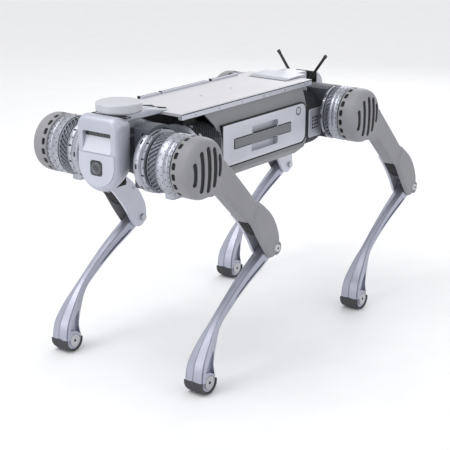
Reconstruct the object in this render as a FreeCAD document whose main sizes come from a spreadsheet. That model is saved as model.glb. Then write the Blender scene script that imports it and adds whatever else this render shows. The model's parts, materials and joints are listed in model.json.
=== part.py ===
import FreeCAD, Part
import math
import os
import re

# Quadruped robot: torso, four hips, four thighs, four shanks.
# Frame: +X forward, +Y to the robot's left, +Z up, floor at z = 0, millimetres.
# "body_shift" moves the middle of the wheelbase so that the origin lies on the floor
# under the centre of the overall box.

V = FreeCAD.Vector
doc = FreeCAD.newDocument("QuadrupedRobot")

SIZES = {
    # stance
    "body_shift": 56.84, "hip_reach": 205.0, "hip_height": 320.683, "leg_link": 222.0,
    "thigh_angle": 47.5, "shank_angle": 46.54,
    # roll (abduction) motors
    "roll_offset": 34.0, "roll_height": 311.0, "roll_radius": 43.0, "roll_inner_radius": 41.0,
    # drive units and hip brackets
    "drive_radius": 42.0, "drive_end": 109.6, "bracket_radius": 49.5, "drum_radius": 42.0,
    "hub_radius": 33.6,
    # thigh
    "thigh_inner": 110.2, "cover_edge": 130.0, "cover_face": 142.0, "cover_radius": 42.0,
    "cover_face_radius": 34.5, "cover_wall": 3.0, "beam_inner": 116.0, "beam_outer": 140.0,
    "plate_inner": 111.4, "plate_outer": 115.8, "fork_inner": 116.0, "fork_outer": 136.2,
    "pin_radius": 4.0, "pin_play": 0.05,
    # shank and foot
    "shank_middle": 126.0, "shank_width": 19.6, "eye_radius": 10.4, "foot_radius": 18.0,
    "foot_core": 14.8, "foot_width": 33.0, "bolt_radius": 4.0, "washer_radius": 9.5,
    # torso
    "plate_front": 155.0, "plate_rear": 170.0, "plate_half": 56.0, "plate_top": 374.7,
    "plate_thickness": 4.0, "rail_width": 2.4, "rail_height": 8.3,
    "shell_rear": 146.0, "shell_front": 104.0, "shell_wall": 2.5,
    "battery_front": 75.0, "battery_rear": 137.0, "battery_low": 285.0, "battery_high": 345.0,
    "battery_face": 69.5,
    # head, neck and tail
    "head_front": 264.0, "head_rear": 228.0, "neck_half": 24.0, "neck_top": 382.4,
    "disc_centre": 217.5, "disc_radius": 31.5, "disc_top": 396.2, "disc_thickness": 11.8,
    "camera_height": 313.4, "camera_half": 10.6, "tail_half": 20.0, "antenna_x": 230.0,
    "antenna_pivot": 13.0, "antenna_height": 357.0, "antenna_length": 56.0, "antenna_lean": 36.0,
    # payload holes in the deck plate
    "payload_spacing": 75.0, "payload_hole": 2.1,
}

sheet = doc.addObject("Spreadsheet::Sheet", "Sizes")
for row, (alias, value) in enumerate(SIZES.items(), start=1):
    sheet.set("A%d" % row, alias)
    sheet.set("B%d" % row, str(value))
    sheet.setAlias("B%d" % row, alias)
doc.recompute()

ALIAS = re.compile(r"\b(" + "|".join(SIZES) + r")\b")


def bind(obj, prop, value):
    """Give a property a plain number, or tie it to the sheet with an expression."""
    if isinstance(value, str):
        obj.setExpression(prop, ALIAS.sub(r"Sizes.\1", value))
    elif "." in prop:
        obj.setExpression(prop, "%.6f" % value)
    else:
        setattr(obj, prop, value)


def place(obj, x=0.0, y=0.0, z=0.0, rotation=None):
    """Position an object; every coordinate may be a number or a sheet expression."""
    obj.Placement = FreeCAD.Placement(V(0, 0, 0), rotation or FreeCAD.Rotation())
    for axis, value in (("x", x), ("y", y), ("z", z)):
        bind(obj, "Placement.Base." + axis, value)
    return obj


ALONG_X = FreeCAD.Rotation(V(0, 1, 0), 90)
ALONG_Y = FreeCAD.Rotation(V(1, 0, 0), -90)
counter = {}


def helper_name(kind):
    counter[kind] = counter.get(kind, 0) + 1
    return "%s_%d" % (kind, counter[kind])


def box(x, y, z, length, width, height):
    """A block by its low corner and its size along X, Y and Z."""
    obj = doc.addObject("Part::Box", helper_name("block"))
    bind(obj, "Length", length)
    bind(obj, "Width", width)
    bind(obj, "Height", height)
    return place(obj, x, y, z)


def cylinder(x, y, z, radius, height, rotation=None):
    obj = doc.addObject("Part::Cylinder", helper_name("round"))
    bind(obj, "Radius", radius)
    bind(obj, "Height", height)
    return place(obj, x, y, z, rotation)


def cone(x, y, z, radius, end_radius, height, rotation=None):
    obj = doc.addObject("Part::Cone", helper_name("taper"))
    bind(obj, "Radius1", radius)
    bind(obj, "Radius2", end_radius)
    bind(obj, "Height", height)
    return place(obj, x, y, z, rotation)


def fuse(shapes):
    if len(shapes) == 1:
        return shapes[0]
    obj = doc.addObject("Part::MultiFuse", helper_name("joined"))
    obj.Shapes = shapes
    obj.Refine = True
    return obj


def common(base, tool):
    obj = doc.addObject("Part::Common", helper_name("shared"))
    obj.Base = base
    obj.Tool = tool
    return obj


def cut(base, tools):
    obj = doc.addObject("Part::Cut", helper_name("trimmed"))
    obj.Base = base
    obj.Tool = fuse(tools)
    return obj


def round_edges(base, radius, choose):
    """Fillet the edges that choose(edge) accepts."""
    doc.recompute()
    obj = doc.addObject("Part::Fillet", helper_name("rounded"))
    obj.Base = base
    obj.Edges = [(i + 1, radius, radius) for i, e in enumerate(base.Shape.Edges) if choose(e)]
    return obj


def curve_edges(outline):
    """Turn an outline into edges. An entry is a corner (x, z), or (mid, end) for an arc."""
    edges = []
    start = V(*outline[0], 0)
    for entry in list(outline[1:]) + [outline[0]]:
        if isinstance(entry[0], tuple):
            middle, end = (V(*p, 0) for p in entry)
            edges.append(Part.Arc(start, middle, end))
        else:
            end = V(*entry, 0)
            if (end - start).Length < 1e-6:
                continue
            edges.append(Part.LineSegment(start, end))
        start = end
    return edges


def pad(outline, low, high, plane="XZ_Plane"):
    """PartDesign body: an outline padded between two planes square to Y (XZ) or X (YZ)."""
    body = doc.addObject("PartDesign::Body", helper_name("padded"))
    origin = [f for f in body.Origin.OriginFeatures if f.Role == plane][0]
    sketch = body.newObject("Sketcher::SketchObject", helper_name("outline"))
    sketch.AttachmentSupport = [(origin, "")]
    sketch.MapMode = "FlatFace"
    sketch.addGeometry(curve_edges(outline))
    feature = body.newObject("PartDesign::Pad", helper_name("pad"))
    feature.Profile = sketch
    low_text, high_text = ("(%s)" % value for value in (low, high))
    bind(feature, "Length", "%s - %s" % (high_text, low_text))
    # The XZ sketch plane looks along -Y, so it starts at the high side.
    offset = "-" + high_text if plane == "XZ_Plane" else low_text
    bind(sketch, "AttachmentOffset.Base.z", offset)
    body.Tip = feature
    return body


def rounded_section(width, depth, corner, placement):
    """A rounded rectangle, width along its own X, as a sketch placed in space."""
    sketch = doc.addObject("Sketcher::SketchObject", helper_name("section"))
    w, d = width / 2, depth / 2
    k = corner * (1 - math.sqrt(0.5))
    outline = [(-w + corner, -d), (w - corner, -d),
               ((w - k, -d + k), (w, -d + corner)), (w, d - corner),
               ((w - k, d - k), (w - corner, d)), (-w + corner, d),
               ((-w + k, d - k), (-w, d - corner)), (-w, -d + corner),
               ((-w + k, -d + k), (-w + corner, -d))]
    sketch.addGeometry(curve_edges(outline))
    sketch.Placement = placement
    return sketch


def loft(sections):
    obj = doc.addObject("Part::Loft", helper_name("loft"))
    obj.Sections = sections
    obj.Solid = True
    obj.Ruled = False
    return obj


NODES = []


def node(name, obj):
    """Name a finished sub-part."""
    obj.Label = name
    NODES.append(obj)
    return obj


def torso_node(name, obj):
    """A torso piece is drawn about the middle of the wheelbase and moved by body_shift."""
    bind(obj, "Placement.Base.x", "body_shift")
    return node(name, obj)


def span(side, low, high):
    """Y range of a piece on one side, from its distances to the centre plane."""
    return ("%s" % low, "%s" % high) if side > 0 else ("-(%s)" % high, "-(%s)" % low)


def round_y(side, low, high, radius, x=0.0, z=0.0, end_radius=None):
    """A round piece along Y between two distances from the centre plane."""
    start, end = span(side, low, high)
    height = "(%s) - (%s)" % (end, start)
    if end_radius is None:
        return cylinder(x, start, z, radius, height, ALONG_Y)
    outer, inner = (end_radius, radius) if side > 0 else (radius, end_radius)
    return cone(x, start, z, inner, outer, height, ALONG_Y)


def box_y(side, low, high, x, z, length, height):
    start, end = span(side, low, high)
    return box(x, start, z, length, "(%s) - (%s)" % (end, start), height)


def pad_y(side, low, high, outline):
    start, end = span(side, low, high)
    return pad(outline, start, end)


# ---------------------------------------------------------------- legs

LEGS = {"fl": (1, 1), "fr": (1, -1), "rl": (-1, 1), "rr": (-1, -1)}


def hip_place(obj, end, rotation=None, knee=False):
    """Move a piece drawn about the pitch axis (or knee axis) to its leg."""
    reach = "body_shift + hip_reach * %d" % end
    height = "hip_height"
    if knee:
        reach += " - leg_link * sin(thigh_angle * 1 deg)"
        height += " - leg_link * cos(thigh_angle * 1 deg)"
    return place(obj, reach, 0.0, height, rotation)


def hip_bracket(leg, end, side):
    """Forged bracket: hub on the roll motor's output, arm and drum behind the drive."""
    drop = "roll_height - hip_height"
    offset = "roll_offset * %d" % side
    if end > 0:
        hub = cylinder(-68.8, offset, drop, "hub_radius", 16.8, ALONG_X)
        arm = box_y(side, 22, 46.6, -53.0, -32.0, 42.0, 46.0)
        drum = round_y(side, 34, 46.6, "drum_radius")
        guard = cut(round_y(side, 34, 61, "bracket_radius"),
                    [round_y(side, 46.6, 62, "bracket_radius - 4.5")])
        guard = common(guard, box_y(side, 30, 70, -38.0, 18.0, 59.0, 40.0))
        window = box_y(side, 0, 70, -70.0, -60.0, 91.0, 130.0)
        parts = [hub, arm, common(drum, window), guard]
    else:
        hub = cylinder(5.0, offset, drop, "hub_radius", 13.2, ALONG_X)
        arm = box_y(side, 22, 45, 5.0, -30.0, 13.2, 44.0)
        drum = round_y(side, 39, 77.7, "drum_radius")
        window = box_y(side, 0, 90, -60.0, -60.0, 78.2, 130.0)
        parts = [hub, arm, common(drum, window)]
    return fuse(parts)


def drive_unit(end, side):
    """Pitch and knee motors in one stack: flange, finned case, smooth case, neck."""
    if end > 0:
        steps = [(46.8, 52, 39, 44), (52, 61, 44, 44), (61, 63, 44, 41), (63, 70, 37, 37),
                 (70, 88, 41, 41)]
    else:
        steps = [(77.9, 79.5, 39, 42), (79.5, 82, 42, 42), (82, 84, 38, 38), (84, 90, 41, 41)]
    steps += [(steps[-1][1], 105, "drive_radius", None), (105, "drive_end", 38, None)]
    parts = []
    for low, high, radius, end_radius in steps:
        tapered = end_radius if end_radius not in (None, radius) else None
        parts.append(round_y(side, low, high, radius, end_radius=tapered))
    if end > 0:
        parts.append(box_y(side, 76, 92, -11.0, -48.0, 22.0, 20.0))
    return fuse(parts)


def beam_outline():
    """Side view of the thigh in its hanging pose: cover at the top, knee hood below."""
    return [(-33.0, -25.9), (-31.5, -72.0), (-28.4, -132.0),
            ((-33.6, -168.0), (-24.0, -208.5)),
            ((-15.5, -221.5), (-3.0, -230.0)), ((10.5, -229.5), (19.2, -219.0)),
            (19.7, -210.0), ((12.2, -173.0), (6.5, -146.0)),
            (6.2, -76.0), ((10.0, -52.5), (24.0, -34.5))]


def fork_gap_outline():
    """Room for the shank between the hood's outer plate and the inner knee plate."""
    return [(-22.0, -142.0), ((-28.4, -170.0), (-19.6, -203.0)),
            ((-16.0, -211.0), (-13.0, -222.0)), (-13.0, -245.0), (60.0, -245.0),
            (60.0, -136.0), (7.0, -136.0)]


def thigh(side):
    """Moulded thigh: vented round cover, beam and knee hood in one shell."""
    cover = round_y(side, "thigh_inner", "cover_edge", "cover_radius")
    dome = round_y(side, "cover_edge", "cover_face", "cover_radius",
                   end_radius="cover_face_radius")
    beam = pad_y(side, "beam_inner", "beam_outer", beam_outline())
    hollow = round_y(side, 109, "cover_edge - 1", "cover_radius - cover_wall")
    inner_dome = round_y(side, "cover_edge - 1.02", "cover_face - cover_wall",
                         "cover_radius - cover_wall",
                         end_radius="cover_face_radius - cover_wall")
    gap = pad_y(side, "fork_inner - 1", "fork_outer", fork_gap_outline())
    shell = cut(fuse([cover, dome, beam]), [hollow, inner_dome, gap])
    bore = round_y(side, 100, 150, "pin_radius", 0.0, "-leg_link")
    return cut(shell, [bore] + rim_vents(side) + face_slots(side))


def rim_vents(side):
    """Eighteen vents around the rim of the cover."""
    vents = []
    start, end = span(side, 112.5, 119.5)
    for k in range(18):
        angle = math.radians(20 * k)
        vent = box(-2.4, 0, -4.8, 4.8, 7.0, 9.6)
        turn = FreeCAD.Rotation(V(0, 1, 0), math.degrees(angle) + 90)
        centre = V(41.0 * math.cos(angle), 0, -41.0 * math.sin(angle))
        corner = centre + turn.multVec(V(-2.4, 0, -4.8))
        vents.append(place(vent, corner.x, start, corner.z, turn))
    return vents


# Curved cooling slots in the cover's face: middle position and height of each.
FACE_SLOTS = [(27.6, 25.0), (13.8, 48.0), (-0.3, 54.0), (-13.4, 47.0), (-25.2, 24.0)]
SLOT_WIDTH = 7.0
SLOT_BULGE = 3.2


def face_slots(side):
    slots = []
    turn = math.radians(SIZES["thigh_angle"])
    half = SLOT_WIDTH / 2
    for middle, height in FACE_SLOTS:
        top = height / 2
        bulge = SLOT_BULGE * height / 61.0
        corners = [(middle - half, -top), ((middle - half - bulge, 0.0), (middle - half, top)),
                   ((middle, top + half), (middle + half, top)),
                   ((middle + half - bulge, 0.0), (middle + half, -top)),
                   ((middle, -top - half), (middle - half, -top))]
        outline = [turned(point, turn) for point in corners]
        slots.append(pad_y(side, "cover_edge - 4", 146, outline))
    return slots


def turned(point, angle):
    """Turn an outline entry about the pitch axis, from world upright to the leg's frame."""
    if isinstance(point[0], tuple):
        return tuple(turned(p, angle) for p in point)
    x, z = point
    return (x * math.cos(angle) - z * math.sin(angle), x * math.sin(angle) + z * math.cos(angle))


def knee_plate(side):
    """Metal inner cheek of the knee fork."""
    outline = [(-24.5, -126.0), ((-30.5, -165.0), (-22.5, -206.0)),
               ((-14.5, -220.5), (-3.0, -229.5)), ((10.5, -228.5), (18.6, -218.0)),
               (19.0, -209.0), ((8.0, -168.0), (4.0, -126.0))]
    plate = pad_y(side, "plate_inner", "plate_outer", outline)
    bore = round_y(side, 100, 150, "pin_radius", 0.0, "-leg_link")
    return cut(plate, [bore])


def knee_pin(side):
    """Stepped knee axle with a domed cap outside and a nut inside."""
    parts = [round_y(side, "plate_inner - 3", "beam_outer + 2.5", "pin_radius", 0.0,
                     "-leg_link"),
             round_y(side, "beam_outer + 0.02", "beam_outer + 3.4", 7.0, 0.0, "-leg_link",
                     end_radius=5.4),
             round_y(side, "plate_inner - 3.5", "plate_inner - 0.02", 5.4, 0.0, "-leg_link")]
    return fuse(parts)


# Shank centre line in its hanging pose, knee at the origin: x, z, width, depth, corner.
SHANK_STATIONS = [
    (2.0, -9.0, 19.0, 20.0, 4.0), (8.7, -33.4, 17.6, 20.5, 4.0),
    (18.6, -70.1, 15.0, 18.5, 4.0), (26.0, -109.9, 13.0, 15.5, 3.6),
    (29.7, -146.4, 13.0, 13.0, 3.4), (25.6, -178.1, 21.0, 16.4, 4.0),
    (16.5, -205.5, 28.0, 23.0, 4.0), (1.9, -220.1, 32.0, 35.0, 4.0)]


def shank(side):
    """Forged lower leg: knee eye, S-curved body and foot core."""
    middle = SIZES["shank_middle"] * side
    sections = []
    for k, (x, z, width, depth, corner) in enumerate(SHANK_STATIONS):
        before = SHANK_STATIONS[max(k - 1, 0)]
        after = SHANK_STATIONS[min(k + 1, len(SHANK_STATIONS) - 1)]
        tangent = V(after[0] - before[0], 0, after[1] - before[1]).normalize()
        turn = FreeCAD.Rotation(V(0, 1, 0), V(0, 0, 0), tangent, "YZX")
        place_ = FreeCAD.Placement(V(x, middle, z), turn)
        sections.append(rounded_section(width, depth, corner, place_))
    body = loft(sections)
    low = "shank_middle - shank_width / 2"
    high = "shank_middle + shank_width / 2"
    eye = round_y(side, low, high, "eye_radius")
    core = round_y(side, "shank_middle - foot_width / 2 + 2", "shank_middle + foot_width / 2 - 2",
                   "foot_core", 0.0, "-leg_link")
    bore = round_y(side, 100, 150, "pin_radius + pin_play")
    bolt_bore = round_y(side, 100, 150, "bolt_radius", 0.0, "-leg_link")
    seats = [round_y(side, "shank_middle + foot_width / 2 - 2", 150, "washer_radius + 0.3", 0.0,
                     "-leg_link"),
             round_y(side, 100, "shank_middle - foot_width / 2 + 2", "washer_radius + 0.3", 0.0,
                     "-leg_link")]
    return cut(fuse([body, eye, core]), [bore, bolt_bore] + seats)


# The sole ends at a plane above the foot's centre, tilted in the shank's hanging pose.
PAD_TILT = 45.0
PAD_LIFT = 2.5


def foot_pad(side):
    """Rubber sole wrapped round the lower part of the foot core."""
    low = "shank_middle - foot_width / 2"
    high = "shank_middle + foot_width / 2"
    tyre = round_y(side, low, high, "foot_radius", 0.0, "-leg_link")
    hole = round_y(side, 90, 160, "foot_core + 0.02", 0.0, "-leg_link")
    turn = FreeCAD.Rotation(V(0, 1, 0), PAD_TILT)
    start = -160 if side < 0 else 90
    top = box(-60, start, 0, 120, 70, 60)
    corner = V(0, 0, -SIZES["leg_link"]) + turn.multVec(V(-60, 0, PAD_LIFT))
    place(top, corner.x, start, corner.z, turn)
    return cut(tyre, [hole, top])


def foot_bolt(side):
    """Through bolt of the foot with a wide washer on each side."""
    low = "shank_middle - foot_width / 2"
    high = "shank_middle + foot_width / 2"
    parts = [round_y(side, low + " + 0.5", high + " - 0.5", "bolt_radius - 0.02", 0.0,
                     "-leg_link")]
    for start, stop in ((high + " - 1.98", high + " - 0.2"), (low + " + 0.2", low + " + 1.98")):
        parts.append(round_y(side, start, stop, "washer_radius", 0.0, "-leg_link"))
    return fuse(parts)


THIGH_TURN = FreeCAD.Rotation(V(0, 1, 0), SIZES["thigh_angle"])
SHANK_TURN = FreeCAD.Rotation(V(0, 1, 0), -SIZES["shank_angle"])

for leg, (end, side) in LEGS.items():
    node("hip_bracket_" + leg, hip_place(hip_bracket(leg, end, side), end))
    node("drive_unit_" + leg, hip_place(drive_unit(end, side), end))
    node("thigh_" + leg, hip_place(thigh(side), end, THIGH_TURN))
    node("knee_plate_" + leg, hip_place(knee_plate(side), end, THIGH_TURN))
    node("knee_pin_" + leg, hip_place(knee_pin(side), end, THIGH_TURN))
    node("shank_" + leg, hip_place(shank(side), end, SHANK_TURN, knee=True))
    node("foot_pad_" + leg, hip_place(foot_pad(side), end, SHANK_TURN, knee=True))
    node("foot_bolt_" + leg, hip_place(foot_bolt(side), end, SHANK_TURN, knee=True))

# ---------------------------------------------------------------- torso


def mirrored(points):
    """Close an outline given for y >= 0 by its mirror image at y < 0."""
    return points + [(-y, z) for y, z in reversed(points)]


# Cross-section of the body shell, from the belly up, for y >= 0.
SHELL_SECTION = [(46.0, 260.0), (54.0, 266.5), (62.0, 273.0), (67.0, 287.0), (69.0, 312.0),
                 (67.6, 328.0), (62.0, 349.5), (57.0, 366.0)]


def shell_outline(wall):
    """The section, moved inwards by the wall thickness and open at the top."""
    inner = [(y - wall, z) for y, z in SHELL_SECTION]
    inner[0] = (inner[0][0], SHELL_SECTION[0][1] + wall)
    if wall:
        inner[-1] = (inner[-1][0], SHELL_SECTION[-1][1] + 1.0)
    return mirrored(inner)


def body_shell():
    """Barrel-shaped casing, open at both ends, with a bay for a battery on each side."""
    outer = pad(shell_outline(0.0), "-shell_rear", "shell_front", "YZ_Plane")
    inner = pad(shell_outline(SIZES["shell_wall"]), "-shell_rear - 1", "shell_front + 1",
                "YZ_Plane")
    bays = box("-battery_rear - 0.5", -90, "battery_low - 0.5",
               "battery_front + battery_rear + 1", 180, "battery_high - battery_low + 1")
    sweep = [(140.0, 240.0), (62.0, 240.0), (70.0, 262.0), (77.0, 290.0), (80.0, 326.0),
             (86.0, 347.0), (104.5, 367.0), (140.0, 367.0)]
    return cut(outer, [inner, bays, pad(sweep, -90, 90)])


def roll_motor(end, side):
    """Roll motor: a round case with flats, lying along X at one corner of the body."""
    if end > 0:
        steps = [(80.0, 104.0, "roll_inner_radius", 62.0), (104.0, 129.5, "roll_radius", 70.0),
                 (129.5, 135.8, "roll_radius + 1.4", 72.0)]
    else:
        steps = [(-146.05, -96.0, "roll_inner_radius", 62.0),
                 (-184.5, -146.05, "roll_radius", 70.0), (-186.4, -184.5, "roll_radius - 3", 69.0)]
    parts = []
    for low, high, radius, flat in steps:
        case = cylinder(low, "roll_offset * %d" % side, "roll_height", radius, high - low,
                        ALONG_X)
        window = box_y(side, 0.4, flat, low - 1, 240.0, high - low + 2, 140.0)
        parts.append(common(case, window))
    return fuse(parts)


def battery(side):
    """Battery pack with a face plate that closes the bay; it slides out sideways."""
    face = box_y(side, 65.6, "battery_face", "-battery_rear", "battery_low",
                 "battery_front + battery_rear", "battery_high - battery_low")

    def rear_corner(edge):
        at_rear = abs(edge.CenterOfMass.x + SIZES["battery_rear"]) < 0.1
        return at_rear and abs(edge.tangentAt(edge.FirstParameter).y) > 0.9
    face = round_edges(face, 12.0, rear_corner)
    case = box_y(side, 13, 65.6, -88.0, 289.0, 156.0, 52.0)
    cuts = [box_y(side, 62, 90, -62.0, 320.0, 67.0, 13.0),
            box_y(side, 62, 90, -62.0, 295.0, 68.0, 14.0),
            box_y(side, 67.4, 90, -96.4, 307.8, 144.8, 13.8)]
    if side > 0:
        cuts.append(round_y(side, 63.4, 90, 5.2, -117.0, 335.0))
    return cut(fuse([face, case]), cuts)


def battery_handle(side):
    """Grip bar across the face plate, between two finger pockets."""
    bar = box_y(side, 67.42, 71.0, -96.0, 308.2, 144.0, 13.0)
    return round_edges(bar, 1.2, lambda edge: edge.CenterOfMass.y * side > 70.9)


def power_button():
    """Round push button in the left face plate."""
    return fuse([round_y(1, 65.9, 69.0, 4.9, -117.0, 335.0),
                 round_y(1, 69.0, 70.0, 4.9, -117.0, 335.0, end_radius=4.0)])


def payload_holes(start, depth):
    """Cutters for the two bolt holes in line along the deck."""
    return [cylinder("payload_spacing * %.1f" % i, 0, start, "payload_hole", depth)
            for i in (-0.5, 0.5)]


def chassis():
    """Inner frame: centre web between the motors, top spar and deck, with two bolt holes."""
    frame = fuse([box(-95.96, -11, 263, 175.92, 22, 96), box(-168, -40, 358, 300, 80, 8.0),
                  box(-140, -30, 366, 270, 60, 4.6)])
    return cut(frame, payload_holes(350, 25))


def main_board():
    """Control board over the left battery bay, with its processors."""
    board = box(-70, 12.5, 351.6, 120, 38, 1.8)
    return fuse([board] + [box(-60 + 38 * k, 20, 345.6, 22, 20, 6.0) for k in range(3)])


def top_plate():
    """Flat deck plate with two payload holes in line."""
    plate = box("-plate_rear", "-plate_half", "plate_top - plate_thickness",
                "plate_rear + plate_front", "2 * plate_half", "plate_thickness")
    return cut(plate, payload_holes(360, 20))


# Raised clamping rails on the right edge of the deck: start and end.
RAISED_RAILS = [(64.0, 108.0), (-53.0, 60.0), (-128.0, -62.0)]


def side_rail(side):
    """Metal edge strip of the deck; the right one carries raised clamping rails."""
    parts = [box_y(side, "plate_half + 0.2", "plate_half + 0.2 + rail_width", "-plate_rear",
                   "plate_top - rail_height", "plate_rear + plate_front", "rail_height - 0.3"),
             box_y(side, 52, "plate_half + 0.2", "-plate_rear", "plate_top - rail_height",
                   "plate_rear + plate_front", 4.0)]
    if side < 0:
        for start, stop in RAISED_RAILS:
            parts.append(box_y(side, "plate_half - 3", "plate_half + 0.2 + rail_width", start,
                               "plate_top + 0.05", stop - start, 3.2))
            parts.append(box_y(side, "plate_half + 0.2", "plate_half + 0.2 + rail_width", start,
                               "plate_top - 1", stop - start, 2.0))
    return fuse(parts)


# Head sections: x, half width, top, chin.
HEAD_STATIONS = [(228.0, 28.5, 379.0, 289.0), (245.0, 35.0, 382.0, 281.5),
                 (257.0, 35.6, 383.2, 279.6), (264.0, 33.0, 377.5, 284.6)]
LOOK_FORWARD = FreeCAD.Rotation(V(1, 1, 1), 120)


def egg_outline(half, top, chin, corner=13.0, shoulder=311.0):
    """Front outline of the head: rounded top corners, straight sides, round chin."""
    k = corner * (1 - math.sqrt(0.5))
    low = half - 1.2
    return [(-half + corner, top), (half - corner, top),
            ((half - k, top - k), (half, top - corner)), (low, shoulder),
            ((0.0, chin), (-low, shoulder)), (-half, top - corner),
            ((-half + k, top - k), (-half + corner, top))]


def head_shell():
    """Head casing with a sloped visor recess and a camera pocket."""
    sections = []
    for x, half, top, chin in HEAD_STATIONS:
        sketch = doc.addObject("Sketcher::SketchObject", helper_name("section"))
        sketch.addGeometry(curve_edges(egg_outline(half, top, chin)))
        sketch.Placement = FreeCAD.Placement(V(x, 0, 0), LOOK_FORWARD)
        sections.append(sketch)
    recess = pad([(270.0, 333.4), (263.2, 333.4), (255.0, 354.4), (255.0, 361.0),
                  (270.0, 362.6)], -24.6, 24.6)
    pocket = box(252, "-camera_half - 0.2", "camera_height - camera_half - 0.2", 20,
                 "2 * camera_half + 0.4", "2 * camera_half + 0.4")
    return cut(loft(sections), [recess, pocket])


def face_plate():
    """Flat mask on the lower face, with the camera window."""
    outline = [(-31.0, 333.0), (31.0, 333.0), (31.4, 316.0), ((0.0, 287.6), (-31.4, 316.0))]
    plate = pad(outline, "head_front + 0.02", "head_front + 1.4", "YZ_Plane")
    window = box(260, "-camera_half - 0.2", "camera_height - camera_half - 0.2", 20,
                 "2 * camera_half + 0.4", "2 * camera_half + 0.4")
    return cut(plate, [window])


def visor_panel():
    """Sloping bright panel in the visor recess."""
    return pad([(263.3, 333.6), (264.6, 334.2), (256.6, 354.6), (255.2, 354.0)], -24.3, 24.3)


def sensor_bar():
    """Dark depth-sensor strip above the visor panel."""
    return pad([(255.1, 354.9), (257.0, 354.9), (257.4, 360.8), (255.1, 360.8)], -23.8, 23.8)


def camera_bezel():
    """Rounded-square camera frame."""
    frame = box(256, "-camera_half", "camera_height - camera_half", 9.2, "2 * camera_half",
                "2 * camera_half")
    frame = round_edges(frame, 4.8,
                        lambda edge: abs(edge.tangentAt(edge.FirstParameter).x) > 0.9)
    return cut(frame, [cylinder(250, 0, "camera_height", 8.1, 20, ALONG_X)])


def camera_lens():
    barrel = cylinder(256.5, 0, "camera_height", 8.0, 7.5, ALONG_X)
    glass = cone(264.0, 0, "camera_height", 8.0, 6.0, 1.4, ALONG_X)
    return fuse([barrel, glass])


def top_disc():
    """Round positioning antenna on a short neck."""
    disc = cylinder("disc_centre", 0, "disc_top - disc_thickness", "disc_radius",
                    "disc_thickness")
    disc = round_edges(disc, 1.6, lambda edge: edge.Length > 100)
    foot = cylinder("disc_centre", 0, 382.9, 27.5, "disc_top - disc_thickness - 382.9")
    return fuse([disc, foot])


def neck_cover():
    """Wedge-shaped hood that carries the head on the deck."""
    outline = [(137.0, 374.9), (174.0, 381.8), (180.0, "top"), (227.9, "top"), (227.9, 372.6),
               (155.6, 372.6), (155.6, 374.9)]
    outline = [(x, SIZES["neck_top"] if z == "top" else z) for x, z in outline]
    hood = pad(outline, "-neck_half", "neck_half")
    return round_edges(hood, 2.0, lambda edge: abs(abs(edge.CenterOfMass.y) - 24.0) < 0.1
                       and edge.CenterOfMass.z > 375.2 and edge.Length > 20)


def tail_cover():
    """Rear hood with a cross slot for the antennas and a rounded end cap."""
    lid = pad([(-132.0, 374.9), (-140.0, 377.8), (-170.4, 378.6), (-186.9, 378.2),
               (-186.9, 366.4), (-170.4, 366.4), (-170.4, 374.9)], -36, 36)
    hood = pad([(-186.8, 378.2), (-186.8, 347.6), (-203.0, 347.6), (-203.0, 326.0),
                (-246.0, 326.0), ((-263.0, 343.0), (-252.0, 368.0)), (-242.0, 374.0),
                (-216.0, 377.4)], "-tail_half", "tail_half")
    slot = box(-245, -50, 350, 30, 100, 60)
    return cut(fuse([lid, hood]), [slot])


def antenna_mount():
    """Base in the tail slot with two forks and their pins."""
    parts = [box(-244.8, -19.8, 350.05, 29.6, 39.6, 2.6)]
    for side in (1, -1):
        for x in (-238.4, -225.6):
            parts.append(box(x, "antenna_pivot * %d - 3.2" % side, 352, 4.0, 6.4, 8.4))
        parts.append(cylinder(-238.4, "antenna_pivot * %d" % side, "antenna_height", 1.5, 16.8,
                              ALONG_X))
    return fuse(parts)


def antenna(side):
    """Folding whip antenna with a round hinge knuckle."""
    knuckle = cylinder(-234.1, 0, 0, 3.4, 8.2, ALONG_X)
    rod = cylinder("-antenna_x", 0, 1, 2.3, "antenna_length - 1")
    tip = cylinder("-antenna_x", 0, "antenna_length - 5", 2.8, 5)
    bore = cylinder(-240, 0, 0, 1.55, 20, ALONG_X)
    piece = cut(fuse([knuckle, rod, tip]), [bore])
    lean = FreeCAD.Rotation(V(1, 0, 0), -side * SIZES["antenna_lean"])
    return place(piece, 0.0, "antenna_pivot * %d" % side, "antenna_height", lean)


BELLY_SCREWS = [(x, y) for x in (-120, -30, 50) for y in (-34, 34)]


def belly_screws():
    """Six countersunk screws under the belly, as separate solids in one group."""
    screws = [cylinder(x, y, 259.2, 3.0, 4.0) for x, y in BELLY_SCREWS]
    group = doc.addObject("Part::Compound", helper_name("group"))
    group.Links = screws
    return group


SIDES = {"left": 1, "right": -1}

shell = body_shell()
screws = belly_screws()
torso_node("chassis_frame", chassis())
torso_node("main_board", main_board())
torso_node("body_shell", cut(shell, [cylinder(x, y, 254, 3.02, 12) for x, y in BELLY_SCREWS]))
torso_node("belly_screws", screws)
torso_node("top_plate", top_plate())
for word, side in SIDES.items():
    torso_node("side_rail_" + word, side_rail(side))
    torso_node("battery_" + word, battery(side))
    torso_node("battery_handle_" + word, battery_handle(side))
torso_node("power_button", power_button())
for leg, (end, side) in LEGS.items():
    torso_node("roll_motor_" + leg, roll_motor(end, side))
torso_node("head_shell", head_shell())
torso_node("face_plate", face_plate())
torso_node("visor_panel", visor_panel())
torso_node("sensor_bar", sensor_bar())
torso_node("camera_bezel", camera_bezel())
torso_node("camera_lens", camera_lens())
torso_node("top_disc", top_disc())
torso_node("neck_cover", neck_cover())
torso_node("tail_cover", tail_cover())
torso_node("antenna_mount", antenna_mount())
for word, side in SIDES.items():
    torso_node("antenna_" + word, antenna(side))

# ---------------------------------------------------------------- check and write

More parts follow.
